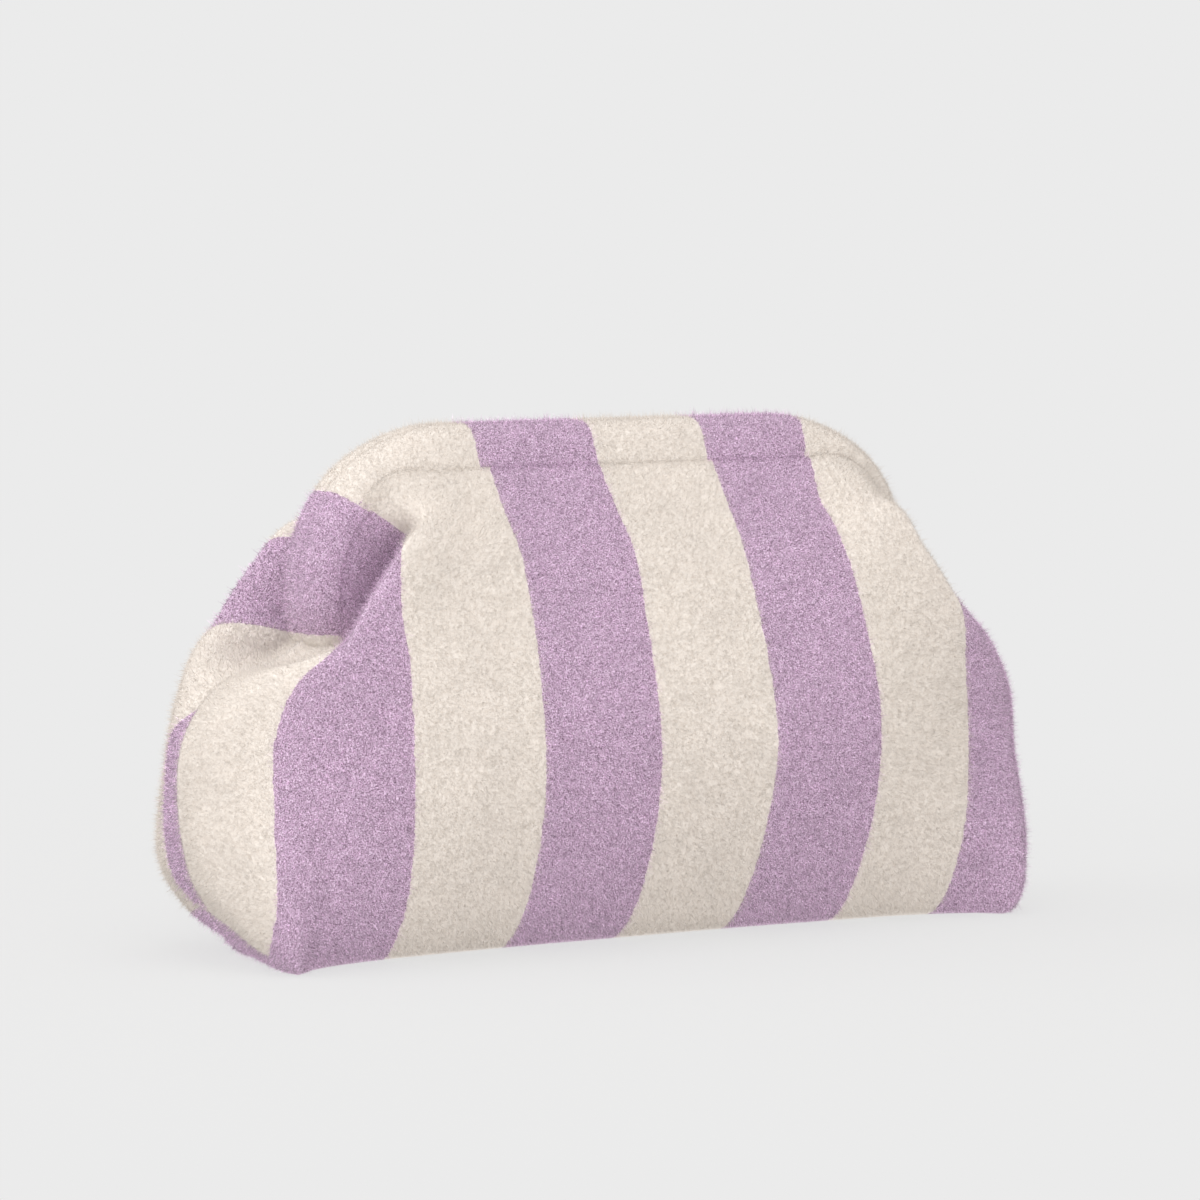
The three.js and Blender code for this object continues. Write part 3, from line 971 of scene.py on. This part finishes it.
    def dress(self, finish: PlushFinish, pile: Pile, casing: str) -> list[bpy.types.Object]:
        """Give the panel its knit and its pile, hang them on the bag's body and hide the imported panel.

        Args:
            finish: The plush.
            pile: What plants the pile.
            casing: Name of the casing that holds the panel up; not used.

        Returns:
            The panel and its pieces of pile.
        """
        panel = self.build()
        panel.data.materials.append(finish.material(False))
        strands = finish.material(True)
        patch = np.arange(len(panel.data.polygons)) * self.patches // (self.across * self.down)
        piles = [pile.grow(panel, f"{self.pile_name}_{number}", self.density, self.seed + number, strands,
                           patch == number) for number in range(self.patches)]
        for piece in (panel, *piles):
            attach(piece, BODY)
        node = "front_panel" if self.side is Side.FRONT else "back_panel"
        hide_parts(node)
        return [panel, *piles]


@dataclass
class Casing:
    """A folded strip of plush sewn into a tube along the mouth, which holds one half of the frame."""

    side: Side
    name: str
    pile_name: str
    density: float
    seed: int
    cloth: float = 2.5 * MM
    bar_half: float = 67.0
    corner_radius: float = 36.0
    corner_up: float = 128.5
    foot: float = 95.0
    narrowing: float = 6.0
    section: tuple[tuple[float, float], ...] = (
        (0.3, 1.2), (0.1, 7), (0.1, 15), (1, 16), (5.6, 16.1), (10.2, 13.4), (12.6, 9.2), (14.3, 4.6),
        (15, 1.8), (14, 0.1), (4, 0))
    full_rise: float = 16.0
    section_steps: int = 33
    arm_stations: int = 8
    corner_stations: int = 21
    bar_stations: int = 36
    bare_rise: float = 0.06
    bare_depth: float = 0.4 * MM
    arm_stripe: float = 130.0
    arm_stretch: float = 1.04
    bar_stripes: tuple[tuple[float, float], ...] = (
        (-67, -63.7), (-59.5, -56), (-12, -11), (33.3, 36.5), (67, 74.7))
    flat: tuple[float, float] = (0.332, 0.0435)

    def stations(self) -> list[tuple[float, float, float]]:
        """Give the stations along the stitch line: centre across, centre up, and turn from the bar.

        Returns:
            One row for each station in mm and radians, from the left foot to the right one.
        """
        heights = np.linspace(self.foot, self.corner_up, self.arm_stations)[:-1]
        turns = np.linspace(math.pi / 2, 0.0, self.corner_stations)
        places = np.linspace(-self.bar_half, self.bar_half, self.bar_stations)[1:-1]
        half = [(self.bar_half, up, math.pi / 2) for up in heights]
        half += [(self.bar_half, self.corner_up, turn) for turn in turns]
        bar = [(x, self.corner_up, 0.0) for x in places]
        left = [(-out, up, -turn) for out, up, turn in half]
        return left + bar + half[::-1]

    def outer(self) -> np.ndarray:
        """Sweep the section along the stitch line.

        Returns:
            Points in metres: stations along the first axis, round the section along the second.
        """
        closed = np.array(self.section + self.section[:1], dtype=float)
        wrapped = np.concatenate([closed[-3:-1], closed, closed[1:3]])[:, None, :]
        spread = smooth_path(wrapped, self.section_steps * (len(wrapped) - 1))[:, 0]
        kept = spread[2 * self.section_steps:-2 * self.section_steps]
        loop = kept[::len(self.section)][:self.section_steps]
        rings = []
        for centre, up, turn in self.stations():
            ease = np.clip(abs(turn) / (math.pi / 2), 0.0, 1.0)
            start = self.narrowing * ease * ease * (3.0 - 2.0 * ease)
            reach = self.corner_radius + start + loop[:, 1] * (1.0 - start / self.full_rise)
            rings.append(np.stack([centre + reach * math.sin(turn), loop[:, 0] * self.side.value,
                                   up + reach * math.cos(turn)], axis=-1))
        return leaned(np.array(rings) * MM)

    def stripes(self) -> np.ndarray:
        """Place the cloth's stripes along the casing.

        Returns:
            Stripe coordinate of each station, whole where a cream stripe starts.
        """
        places, marks = zip(*self.bar_stripes)
        values = []
        for centre, up, turn in self.stations():
            on_bar = float(np.interp(centre, places, marks))
            along_corner = abs(turn) / (math.pi / 2)
            arm = math.copysign(self.arm_stripe + (self.corner_up - up) * self.arm_stretch, centre)
            values.append(on_bar + (arm - on_bar) * along_corner)
        return (np.array(values) - STRIPE_START) / STRIPE_PERIOD

    def build(self) -> bpy.types.Object:
        """Build the casing as one closed wall of cloth.

        Returns:
            The casing, with its stripe, pile and trim attributes.
        """
        grid = self.outer()
        flip = self.side is Side.BACK
        normals = grid_normals(grid, True) * (-1.0 if flip else 1.0)
        inner = grid - normals * self.cloth
        points, faces, outer_count = walled(grid, inner, flip, True)
        piece = mesh_object(self.name, points, faces)
        stripes = np.repeat(self.stripes(), grid.shape[1])
        store(piece, STRIPE, "POINT", np.concatenate([stripes, stripes]))
        depth = np.abs(points[faces, 1]).mean(axis=1)
        rise = np.tile(grid_rise(grid), (grid.shape[0] - 1, 1)).ravel()
        share = np.zeros(len(faces))
        hidden = (rise < self.bare_rise) | (depth[:outer_count] < self.bare_depth)
        share[:outer_count] = np.where(hidden, 0.0, 1.0)
        store(piece, PILE, "FACE", share)
        store(piece, TRIM, "FACE", np.ones(len(faces)))
        return piece

    def dress(self, finish: PlushFinish, pile: Pile) -> list[bpy.types.Object]:
        """Give the casing its knit and its pile, hang them on the bag's body and hide the imported casing.

        Args:
            finish: The plush.
            pile: What plants the pile.

        Returns:
            The casing and its pile.
        """
        casing = self.build()
        casing.data.materials.append(finish.material(False))
        strands = pile.grow(casing, self.pile_name, self.density, self.seed, finish.material(True),
                            np.ones(len(casing.data.polygons), dtype=bool))
        for piece in (casing, strands):
            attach(piece, BODY)
        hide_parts("front_casing" if self.side is Side.FRONT else "back_casing")
        return [casing, strands]


def grid_rise(grid: np.ndarray) -> np.ndarray:
    """Give how high each face of a casing's ring stands in its section, from 0 at the stitch to 1.

    Args:
        grid: Rings of the casing; the middle one lies on the straight bar.

    Returns:
        One number for each face round the ring.
    """
    height = grid[len(grid) // 2, :, 2]
    share = (height - height.min()) / (height.max() - height.min())
    return (share + np.roll(share, -1)) / 2.0


class Lamp(NamedTuple):
    """A square soft light: where it hangs and its side in metres, and its power in watts."""

    name: str
    place: tuple[float, float, float]
    side: float
    power: float


LAMPS = (
    Lamp("key", (-1.6, -1.5, 0.7), 1.4, 5.5),
    Lamp("side", (-1.8, 0.7, 1.1), 1.4, 19.0),
    Lamp("fill", (-0.8, -1.9, -0.1), 1.4, 15.5),
    Lamp("top", (-0.1, -0.4, 1.8), 1.2, 11.0),
)


@dataclass
class Studio:
    """Pale floor, soft light and the camera at the photograph's viewing angle."""

    azimuth: float = -31.0
    elevation: float = 4.7
    distance: float = 1.95
    aim: tuple[float, float, float] = (0.0, 0.0, 0.117)
    focal_px: float = 5510.0
    image_px: float = 1200.0
    sensor: float = 36.0
    far_clip: float = 50.0
    backdrop: str = "#EBEBEB"
    fill: str = "#FFFDFB"
    fill_strength: float = 0.97
    paper: str = "#C7C7C7"
    paper_share: float = 0.2
    paper_near: float = 0.12
    paper_far: float = 0.6
    floor_radius: float = 1.4
    floor_corners: int = 64
    floor_drop: float = 0.2 * MM

    def camera(self) -> None:
        """Make the camera and set it as the scene's own."""
        turn = math.radians(self.azimuth)
        tilt = math.radians(self.elevation)
        back = np.array([math.sin(turn) * math.cos(tilt), -math.cos(turn) * math.cos(tilt), math.sin(tilt)])
        lens = bpy.data.cameras.new("camera")
        lens.sensor_width = self.sensor
        lens.lens = self.focal_px / self.image_px * self.sensor
        lens.clip_end = self.far_clip
        camera = bpy.data.objects.new("camera", lens)
        camera.location = np.array(self.aim) + back * self.distance
        camera.rotation_euler = (math.pi / 2 - tilt, 0.0, turn)
        bpy.context.scene.collection.objects.link(camera)
        bpy.context.scene.camera = camera

    def world(self) -> None:
        """Light the scene from all round, and show the camera a plain pale backdrop."""
        world = bpy.data.worlds.new("studio")
        world.use_nodes = True
        tree = world.node_tree
        tree.nodes.clear()
        seen = add_node(tree, "ShaderNodeBackground", None,
                        {"Color": linear_from_hex(self.backdrop), "Strength": 1.0}).outputs[0]
        fill = add_node(tree, "ShaderNodeBackground", None,
                        {"Color": linear_from_hex(self.fill), "Strength": self.fill_strength}).outputs[0]
        path = add_node(tree, "ShaderNodeLightPath").outputs["Is Camera Ray"]
        both = add_node(tree, "ShaderNodeMixShader", None, {0: path, 1: fill, 2: seen}).outputs[0]
        add_node(tree, "ShaderNodeOutputWorld", None, {"Surface": both})
        bpy.context.scene.world = world

    def hang(self, lamp: Lamp) -> None:
        """Hang one square soft light that shines at the bag.

        Args:
            lamp: The light's name, place, side and power.
        """
        light = bpy.data.lights.new(lamp.name, "AREA")
        light.size = lamp.side
        light.energy = lamp.power
        hung = bpy.data.objects.new(lamp.name, light)
        hung.location = lamp.place
        towards = np.array(self.aim) - np.array(lamp.place)
        flat = math.hypot(towards[0], towards[1])
        hung.rotation_euler = (math.atan2(flat, -towards[2]), 0.0, math.atan2(-towards[0], towards[1]))
        bpy.context.scene.collection.objects.link(hung)

    def floor(self) -> None:
        """Lay a pale floor that thins out into the backdrop."""
        ring = np.linspace(0.0, 2.0 * math.pi, self.floor_corners + 1)[:-1]
        points = np.stack([np.cos(ring), np.sin(ring), np.zeros_like(ring)], axis=-1) * self.floor_radius
        points[:, 2] = -self.floor_drop
        floor = mesh_object("floor", points, np.arange(self.floor_corners)[None])
        material = bpy.data.materials.new("seamless_paper")
        material.use_nodes = True
        tree = material.node_tree
        tree.nodes.clear()
        place = add_node(tree, "ShaderNodeTexCoord").outputs["Object"]
        away = add_node(tree, "ShaderNodeVectorMath", {"operation": "LENGTH"}, {0: place}).outputs["Value"]
        body = add_node(tree, "ShaderNodeMapRange", {"interpolation_type": "SMOOTHSTEP"},
                        {"Value": away, "From Min": self.paper_near, "From Max": self.paper_far,
                         "To Min": self.paper_share, "To Max": 0.0}).outputs["Result"]
        paper = add_node(tree, "ShaderNodeBsdfDiffuse", None,
                         {"Color": linear_from_hex(self.paper)}).outputs[0]
        clear = add_node(tree, "ShaderNodeBsdfTransparent").outputs[0]
        both = add_node(tree, "ShaderNodeMixShader", None, {0: body, 1: clear, 2: paper}).outputs[0]
        add_node(tree, "ShaderNodeOutputMaterial", None, {"Surface": both})
        floor.data.materials.append(material)

    def build(self) -> None:
        """Set up the camera, the backdrop, the floor and the lights."""
        bpy.context.scene.view_settings.view_transform = "Standard"
        self.camera()
        self.world()
        self.floor()
        for lamp in LAMPS:
            self.hang(lamp)


def main() -> None:
    """Build the bag piece by piece, and report each piece."""
    logging.basicConfig(level=logging.INFO, format="%(name)s: %(message)s")
    Studio().build()
    pile = Pile()
    panel_plush = PlushFinish("panel_plush")
    casing_plush = PlushFinish("casing_plush")
    pieces: list[bpy.types.Object] = []
    casings = (Casing(Side.FRONT, "front_casing_cloth", "front_casing_pile", density=7.0e6, seed=41),
               Casing(Side.BACK, "back_casing_cloth", "back_casing_pile", density=5.0e6, seed=43))
    panels = (Panel(Side.FRONT, "front_panel_cloth", "front_panel_pile", density=7.0e6, seed=11),
              Panel(Side.BACK, "back_panel_cloth", "back_panel_pile", density=4.0e6, seed=21))
    for casing in casings:
        pieces += casing.dress(casing_plush, pile)
    for panel, casing in zip(panels, casings):
        pieces += panel.dress(panel_plush, pile, casing.name)
    pile.clear()
    steel = SteelFinish().material()
    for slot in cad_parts["hinge_frame"].material_slots:
        slot.material = steel
    LOG.info("hinge_frame: %s", steel.name)
    for piece in pieces:
        LOG.info("%s: %d faces", piece.name, len(piece.data.polygons))


if __name__ == "__main__":
    main()
